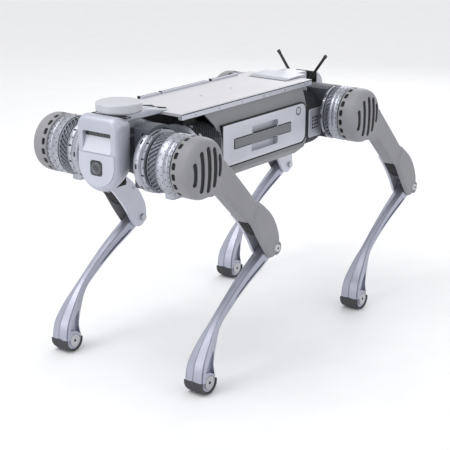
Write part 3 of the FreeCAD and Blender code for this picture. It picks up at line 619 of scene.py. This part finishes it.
def drive_shapes(end):
    """Motor stack as (piece, finish, mesh): turned rings, fins, dark grooves and details."""
    bolt = button(1.5, 0.9, 12, 0.5)
    bead = button(0.95, 0.35, 10, 0.3)
    oval = pillow(rounded(7.4, 3.0, 1.4), -0.6, 0.12, 0.1, 0.1, 1.2, "xy", 1)
    small = pillow(rounded(3.6, 1.2, 0.5), -0.5, 0.1, 0.1, 0.1, 0.8, "xy", 1)
    tall = pillow(rounded(2.6, 5.2, 1.2), -0.6, 0.12, 0.1, 0.1, 1.2, "xy", 1)
    if end > 0:
        rings = [(46.8, 38.0), (49.0, 42.4), (50.5, 44.0), (59.4, 44.0), (60.0, 42.0),
                 (61.2, 42.0), (61.8, 43.2), (67.4, 43.2), (68.0, 38.4), (70.2, 38.4),
                 (70.8, 40.2), (71.6, 40.2), (72.0, 36.0), (85.4, 36.0), (85.9, 40.8),
                 (86.9, 40.8), (87.2, 39.4), (88.0, 39.4), (88.5, 42.0), (98.6, 42.0),
                 (99.0, 41.0), (99.8, 41.0), (100.2, 42.0), (105.6, 42.0), (106.0, 41.2),
                 (108.8, 41.2), (109.3, 40.0)]
        fins = relief(71.8, 85.6, 36, 432, fin_radius(41.0, 2.6, 36, 0.72))
        dark = [(68.2, 38.9, 70.0)]
        bolts = [around(bolt, 16, 55.0, 43.9, math.radians(11.25)),
                 around(bolt, 12, 64.6, 43.0)]
        holes = [around(oval, 8, 55.0, 43.95), around(tall, 24, 64.6, 43.15),
                 around(bead, 24, 91.0, 41.8), around(bead, 24, 96.4, 41.8, math.radians(7.5)),
                 around(small, 36, 107.4, 41.15), around(bead, 24, 102.6, 41.9)]
    else:
        rings = [(77.9, 38.6), (79.0, 41.0), (79.6, 42.0), (83.4, 42.0), (84.0, 38.4),
                 (85.0, 38.4), (85.4, 40.4), (86.0, 40.4), (86.2, 36.6), (92.0, 36.6),
                 (92.4, 40.6), (93.2, 40.6), (93.6, 42.0), (98.6, 42.0), (99.0, 41.0),
                 (99.8, 41.0), (100.2, 42.0), (105.6, 42.0), (106.0, 41.2), (108.8, 41.2),
                 (109.3, 40.0)]
        fins = relief(86.2, 92.2, 18, 432, fin_radius(41.0, 2.4, 36, 0.72))
        dark = [(83.6, 38.9, 85.2)]
        bolts = [around(bolt, 16, 81.5, 41.9, math.radians(11.25))]
        holes = [around(bead, 24, 96.2, 41.8), around(small, 36, 107.4, 41.15),
                 around(bead, 24, 102.6, 41.9), around(oval, 8, 81.5, 41.95)]
    neck = lathe([(104.5, 36.0), (109.4, 36.0)], 64)
    parts = [lathe(rings, 144, 0.25), neck]
    if end > 0:
        parts.append(pillow(rounded(22.0, 16.0, 3.0, (0.0, 84.0)), -47.8, -36.0, 2.0, 0.3, 2.0,
                            "xy", 3))
    return [("drive_rings", "motor_metal", joined(*parts)),
            ("drive_fins", "fin_metal_painted_shade", fins),
            ("drive_grooves", "void_black",
             joined(*[lathe([(a, r), (b, r)], 96, 0.1) for a, r, b in dark])),
            ("drive_bolts", "screw_steel", joined(*bolts)),
            ("drive_vents", "void_black", joined(*holes))]


def leg_matrix(leg, part):
    """Where a leg shape goes: mirrored to its side, turned and moved to its joint."""
    end, side = LEGS[leg]
    scale = Matrix.Diagonal((MM, side * MM, MM, 1.0))
    hip = Matrix.Translation((FRONT_X if end > 0 else REAR_X, 0, HIP_Z))
    if part == "hip":
        return hip @ scale
    if part == "upper_leg":
        return hip @ Matrix.Rotation(THIGH_TURN, 4, "Y") @ scale
    knee = Matrix.Translation((KNEE.x, 0, KNEE.z))
    return hip @ knee @ Matrix.Rotation(-SHANK_TURN, 4, "Y") @ scale


UPPER_LEG = [
    ("thigh_shell", "thigh_plastic", thigh_shape(), "thigh_"),
    # Black lining inside the vent cover: painted shade seen through the slots.
    ("cover_painted_shade", "void_black",
     lathe([(110.6, 39.0), (111.4, 39.8)] + [(y - 0.12, r - 0.12) for y, r in COVER_INSIDE],
           96, 0.2), None),
    ("fork_liner", "void_black", pillow(FORK_LINER, 116.3, 136.0, 0.5, 0.5, turns=2), None),
    ("knee_ring", "thigh_plastic",
     at_link(lathe([(139.0, 10.6), (141.5, 10.4), (142.0, 9.6), (142.0, 7.6), (139.0, 7.6)], 64,
                   0.3)), None),
    ("knee_socket", "void_black", at_link(lathe([(142.6, 1.9), (143.5, 1.9)], 6, 0.05)), None),
    ("plate_bolts", "screw_steel",
     joined(*[moved(button(2.6, 1.6, 20, 1.0),
                    Matrix.Translation((x, 111.4, z)) @ Matrix.Rotation(math.pi / 2, 4, "X"))
              for x, z in ((-22.0, -150.0), (-24.0, -172.0), (-12.0, -136.0))]), None),
]
LOWER_LEG = [
    ("shank_forging", "shank_metal", shank_shape(), "shank_"),
    ("sole", "foot_rubber", sole_shape(), "foot_pad_"),
    ("recess_floor", "shank_metal",
     joined(pillow(RECESS, SHANK_Y + 5.7, SHANK_Y + 9.6, 0.1, 0.1, turns=1),
            pillow(RECESS, SHANK_Y - 9.6, SHANK_Y - 5.7, 0.1, 0.1, turns=1)), None),
    ("foot_sockets", "void_black",
     at_link(joined(lathe([(141.6, 2.3), (142.45, 2.3)], 6, 0.05),
                    lathe([(109.55, 2.3), (110.4, 2.3)], 6, 0.05))), None),
]
HIP = {end: drive_shapes(end) for end in (1, -1)}

for leg, (end, side) in LEGS.items():
    for part, pieces in (("upper_leg", UPPER_LEG), ("lower_leg", LOWER_LEG)):
        for name, finish, mesh, node in pieces:
            stamp(name + "_" + leg, mesh, leg_matrix(leg, part), finish, part + "_" + leg,
                  28 if name == "shank_forging" else 38,
                  [node + leg] if node else ())
    for name, finish, mesh in HIP[end]:
        stamp(name + "_" + leg, mesh, leg_matrix(leg, "hip"), finish, "hip_" + leg, 38,
              ["drive_unit_" + leg] if name == "drive_rings" else ())

# ---------------------------------------------------------------- torso shapes
# Torso shapes are drawn about the middle of the wheelbase, in millimetres.

Y_TO_X = Matrix.Rotation(-math.pi / 2, 4, "Z")
ROLL_Y, ROLL_Z = 34.0, 311.0


def flattened(mesh, side, near, far):
    """Press a drum flat where it would pass the two planes beside it."""
    for vertex in mesh.vertices:
        vertex.co.y = side * min(max(vertex.co.y * side, near), far)
    return mesh


def roll_drum(mesh, side, far):
    """Put a drum on the roll motor's axis and flatten it on its outer side."""
    lift = Matrix.Translation((0, ROLL_Y * side, ROLL_Z))
    return flattened(moved(mesh, lift @ Y_TO_X), side, 0.4, far)


ROLL_HATCH, ROLL_SEGMENTS = hatch_radius(42.9, 1.6, 54, 1.28), 378


def roll_pieces(end, side):
    """Roll motor: hatched case, plain rings and, at the rear, a flat grille."""
    if end > 0:
        case = relief(80.5, 128.6, 66, ROLL_SEGMENTS, ROLL_HATCH)
        case = roll_drum(case, side, 70.0)
        ring = lathe([(128.4, 38.0), (129.4, 43.4), (131.0, 44.3), (133.6, 44.3),
                      (134.4, 43.2), (135.6, 42.6), (135.8, 30.0)], 128, 0.3)
        ring = roll_drum(ring, side, 72.0)
        bolts = around(button(1.5, 0.8, 12, 0.5), 14, 131.9, 44.1)
        bolts = roll_drum(bolts, side, 72.4)
        lugs = around(pillow(rounded(5.0, 3.6, 0.8), -0.8, 0.9, 0.1, 0.3, 1.5, "xy", 2), 14,
                      122.0, 42.4, math.radians(6))
        return [("roll_fins", "roll_case", case), ("roll_ring", "silver_metal", ring),
                ("roll_bolts", "screw_steel", bolts),
                ("roll_lugs", "silver_metal", roll_drum(lugs, side, 70.4))]
    case = relief(-184.4, -96.4, 120, ROLL_SEGMENTS, ROLL_HATCH)
    for vertex in case.vertices:
        if vertex.co.y > -146.0:
            squeeze = min(1.0, 40.6 / math.hypot(vertex.co.x, vertex.co.z))
            vertex.co.x *= squeeze
            vertex.co.z *= squeeze
    case = roll_drum(case, side, 69.4)
    cap = roll_drum(lathe([(-186.4, 34.0), (-186.0, 39.0), (-184.8, 40.0), (-184.0, 36.0)], 96,
                          0.2), side, 69.0)
    plate = pillow(rounded(37.6, 45.0, 3.0, (-165.4, 309.5)), 66.5, 70.3, 0.3, 0.8, 2.0)
    slots = [pillow(rounded(5.0, 3.6, 1.7, (-170.4 + 6.3 * i, 301.6 + 5.4 * j)), 60.0, 80.0, 0.1,
                    0.1, 1.0, turns=1) for i in range(3) for j in range(4)]
    plate = carved(plate, *slots)
    back = pillow(rounded(22.0, 24.0, 3.0, (-164.1, 309.7)), 66.8, 69.7, 0.1, 0.1, turns=1)
    mirror = Matrix.Diagonal((1, side, 1, 1))
    return [("roll_fins", "roll_case", case), ("roll_cap", "dark_metal", cap),
            ("roll_facet", "silver_metal", moved(plate, mirror)),
            ("roll_grille", "void_black", moved(back, mirror))]


for leg, (end, side) in LEGS.items():
    for name, finish, mesh in roll_pieces(end, side):
        stamp(name + "_" + leg, mesh, TORSO, finish, "torso", 38,
              ["roll_motor_" + leg] if name == "roll_fins" else ())


def rounded_copy(node, voxel=0.9, passes=8):
    """A CAD node's own shape with softened edges, in millimetres about the wheelbase."""
    mesh = moved(frame["nodes"][node].data, TORSO.inverted())
    return worked(mesh, ("REMESH", {"mode": "VOXEL", "voxel_size": voxel}),
                  ("SMOOTH", {"factor": 0.5, "iterations": passes}))


stamp("head_casing", rounded_copy("head_shell", 0.8, 9), TORSO, "head_paint", "torso", 50,
      ["head_shell"])
stamp("neck_hood", rounded_copy("neck_cover", 0.9, 6), TORSO, "silver_metal", "torso", 50,
      ["neck_cover"])
stamp("tail_hood", rounded_copy("tail_cover", 0.9, 6), TORSO, "silver_metal", "torso", 50,
      ["tail_cover"])

# Camera window: a rounded frame round a ringed lens, just proud of the face plate.
CAMERA_Z, LENS_SEGMENTS = 313.4, 64


def camera_plate(width, height, corner, rear, front, rear_round, front_round, turns=2):
    """A rounded plate across X in front of the camera."""
    return pillow(rounded(width, height, corner, (0.0, CAMERA_Z)), rear, front, rear_round,
                  front_round, 1.0, "yz", turns)


def turned_forward(profile, segments, y=0.0, z=CAMERA_Z):
    """A lathe shape whose axis runs along X."""
    return moved(lathe(profile, segments, 0.1), Matrix.Translation((0, y, z)) @ Y_TO_X)


collar = carved(camera_plate(24.4, 24.4, 2.8, 263.4, 265.3, 0.1, 0.4),
                camera_plate(20.6, 20.4, 5.0, 255.0, 270.0, 0.1, 0.1, 1))
stamp("camera_frame", camera_plate(21.4, 21.2, 5.2, 263.0, 265.9, 0.2, 0.6), TORSO,
      "dark_window", "torso", 38, ["camera_bezel"])
stamp("camera_collar", collar, TORSO, "head_paint", "torso", 38)
stamp("lens_rings", turned_forward([(264.6, 8.0), (266.1, 8.0), (266.4, 7.2), (265.9, 6.4),
                                    (265.9, 5.6), (266.2, 5.3), (266.2, 4.6), (265.4, 4.2)],
                                   LENS_SEGMENTS),
      TORSO, "fin_metal_painted_shade", "torso", 38, ["camera_lens"])
stamp("lens_glass", turned_forward([(264.8, 4.1), (265.5, 4.1), (266.1, 2.8), (266.4, 1.2)], 48),
      TORSO, "lens_glass", "torso", 38)
sensor_eyes = joined(*[turned_forward([(254.0, 2.0), (257.5, 2.0), (257.9, 1.5)], 32, y, 358.0)
                       for y in (-16.0, -5.0, 9.0, 17.0)])
stamp("sensor_eyes", sensor_eyes, TORSO, "lens_glass", "torso")

SKIRT = [(196.0, 382.0), (196.0, 370.0), ((199.0, 365.6), (205.0, 364.0)), (221.0, 362.0),
         ((225.6, 363.2), (227.6, 367.0)), (227.6, 382.0)]
skirts = joined(pillow(SKIRT, 17.0, 21.4, 0.3, 1.2), pillow(SKIRT, -21.4, -17.0, 1.2, 0.3))
stamp("neck_skirts", skirts, TORSO, "silver_metal", "torso")

# Dark joints and seams between the panels, and a black triangle of painted shade at the neck hood's rear end.
DECK_EDGE = 58.7
NECK_SHADE_TRIANGLE = [(140.0, 0.6), (133.0, 13.7), (151.0, 15.0)]


def neck_slope(x):
    """Height of the neck hood's sloping rear end."""
    return 375.05 + max(0.0, x - 137.0) * 0.1865


seams_and_shade_marks = []
for sign in (1, -1):
    edge = DECK_EDGE * sign
    seams_and_shade_marks.append(block((-169.6, edge - 0.15, 373.0), (154.6, edge + 0.15, 374.45), 0.1))
    # Black triangle following the neck hood's sloping rear end: painted shade of its shadowed wall.
    seams_and_shade_marks.append(rings_mesh([[(x, y * sign, neck_slope(x) + lift) for x, y in NECK_SHADE_TRIANGLE]
                             for lift in (-1.0, 0.8)]))
seams_and_shade_marks.append(block((-131.9, -36.4, 374.4), (-130.9, 36.4, 374.95)))
seams_and_shade_marks.append(band([(238.0, -31.8), (238.0, 31.8), (227.5, 30.4), (227.5, -30.4)], 0.5, 379.4,
                  380.4, "xy"))
for x in (-215.35, -244.65):
    seams_and_shade_marks.append(block((x - 0.15, -19.6, 352.8), (x + 0.15, 19.6, 372.0), 0.1))
stamp("seams_and_painted_shade", joined(*seams_and_shade_marks), TORSO, "void_black", "torso")

# Black blocks as painted shade in the hollows behind the front motors, under the deck's front and under the neck.
shade_blocks = joined(block((66.0, -51.0, 268.0), (79.5, 51.0, 357.0), 1.0),
               block((215.0, -9.0, 281.0), (246.0, 9.0, 300.0), 1.0),
               block((104.0, -44.0, 352.0), (134.0, 44.0, 369.6), 1.0))
stamp("painted_shade_blocks", shade_blocks, TORSO, "void_black", "torso")

for word, side in SIDES.items():
    mirror = Matrix.Diagonal((1, side, 1, 1))
    unit = "battery_%s_unit" % word
    surround = band([(75.6, 282.4), (75.6, 346.0), (-126.0, 346.0),
                     ((-135.6, 343.6), (-139.2, 334.0)), (-139.2, 294.4),
                     ((-135.6, 284.8), (-126.0, 282.4))], 2.0, 62.0, 68.6)
    stamp("battery_seal_" + word, moved(surround, mirror), TORSO, "void_black", "torso")
    trim = [band(rounded(146.8, 15.8, 1.6, (-24.0, 314.7)), 1.5, 67.0, 69.75)]
    stamp("handle_border_" + word, moved(joined(*trim), mirror), TORSO, "void_black", unit)
    rims = [band(rounded(69.0, 13.4, 6.0, (-28.5, 327.4)), 0.7, 68.6, 69.85),
            band(rounded(70.0, 14.0, 6.0, (-28.0, 301.6)), 0.7, 68.6, 69.85)]
    stamp("pocket_rims_" + word, moved(joined(*rims), mirror), TORSO, "silver_panel", unit)
ring = moved(lathe([(68.0, 6.6), (69.8, 6.6), (69.8, 5.5), (68.0, 5.3)], 48, 0.2),
             Matrix.Translation((-117.0, 0, 335.0)))
stamp("button_ring", ring, TORSO, "void_black", "battery_left_unit")

# Clamping slots in the raised rails and screws along the deck's edge.
RAISED_RAILS = ((64.0, 108.0), (-53.0, 60.0), (-128.0, -62.0))
rail_slots = []
for low, high in RAISED_RAILS:
    rail_slots.append(block((low + 4, -58.4, 377.4), (high - 4, -57.0, 378.1), 0.2))
    rail_slots.append(block((low + 0.5, -55.6, 374.6), (high - 0.5, -55.1, 376.3), 0.1))
    rail_slots.append(block((high - 2.6, -60.9, 374.6), (high + 0.4, -55.2, 378.2), 0.3))
stamp("rail_slots", joined(*rail_slots), TORSO, "void_black", "torso")
edge_screws = joined(*[moved(button(1.3, 0.5, 12, 0.4),
                             Matrix.Translation((x, side * 59.0, 369.6))
                             @ Matrix.Rotation(-side * math.pi / 2, 4, "X"))
                       for x in (-150, -95, -40, 15, 70, 125) for side in (1, -1)])
stamp("edge_screws", edge_screws, TORSO, "screw_steel", "torso")

# Screws on the front hip brackets, beside the drive flange.
for leg in ("fl", "fr"):
    studs = [moved(button(2.2, 1.2, 14, 0.8),
                   Matrix.Translation((-46.0, 46.2, z)) @ Matrix.Rotation(-math.pi / 2, 4, "X"))
             for z in (-20.0, 4.0)]
    stamp("bracket_screws_" + leg, joined(*studs), leg_matrix(leg, "hip"), "screw_steel",
          "hip_" + leg)

# ---------------------------------------------------------------- floor, light and camera

floor = bpy.data.objects.new("floor", build(
    [(-6, -6, 0), (6, -6, 0), (6, 6, 0), (-6, 6, 0)], [(0, 1, 2, 3)]))
scene.collection.objects.link(floor)
floor.data.materials.append(material("floor_white", (0.86, 0.86, 0.87, 1.0), 0.7,
                                     grain=(300, 0.02), tint=0.01))

world = bpy.data.worlds.new("studio")
scene.world = world
world.use_nodes = True
sky = world.node_tree.nodes["Background"]
sky.inputs["Color"].default_value = (0.98, 0.985, 1.0, 1.0)
sky.inputs["Strength"].default_value = 0.95


def area_light(name, spot, target, size, power, tint=(1.0, 1.0, 1.0)):
    """A soft rectangular lamp that faces a target."""
    data = bpy.data.lights.new(name, "AREA")
    data.shape = "RECTANGLE"
    data.size, data.size_y = size
    data.energy = power
    data.color = tint
    obj = bpy.data.objects.new(name, data)
    obj.location = spot
    obj.rotation_euler = (Vector(target) - Vector(spot)).to_track_quat("-Z", "Y").to_euler()
    scene.collection.objects.link(obj)


MIDDLE = (0.0, 0.0, 0.25)
area_light("key", (0.9, -0.5, 1.9), MIDDLE, (1.2, 1.2), 13.0)
area_light("front", (2.0, -0.5, 0.8), MIDDLE, (0.7, 1.2), 5.0)
area_light("side", (-0.3, 2.2, 0.9), MIDDLE, (1.2, 0.5), 3.0, (0.95, 0.97, 1.0))
area_light("rear", (-1.8, -0.6, 1.1), MIDDLE, (1.0, 1.0), 6.0)

AZIMUTH, TILT, ROLL = (math.radians(a) for a in (36.51, 17.30, 0.214))
look = Vector((-math.cos(AZIMUTH) * math.cos(TILT), -math.sin(AZIMUTH) * math.cos(TILT),
               -math.sin(TILT)))
camera_data = bpy.data.cameras.new("camera")
camera_data.lens = 100.39
camera_data.sensor_width = 36.0
camera = bpy.data.objects.new("camera", camera_data)
camera.location = (1.46366 + SHIFT, 1.10070, 0.73881)
camera.rotation_euler = (look.to_track_quat("-Z", "Y").to_matrix()
                         @ Matrix.Rotation(ROLL, 3, "Z")).to_euler()
scene.collection.objects.link(camera)
scene.camera = camera
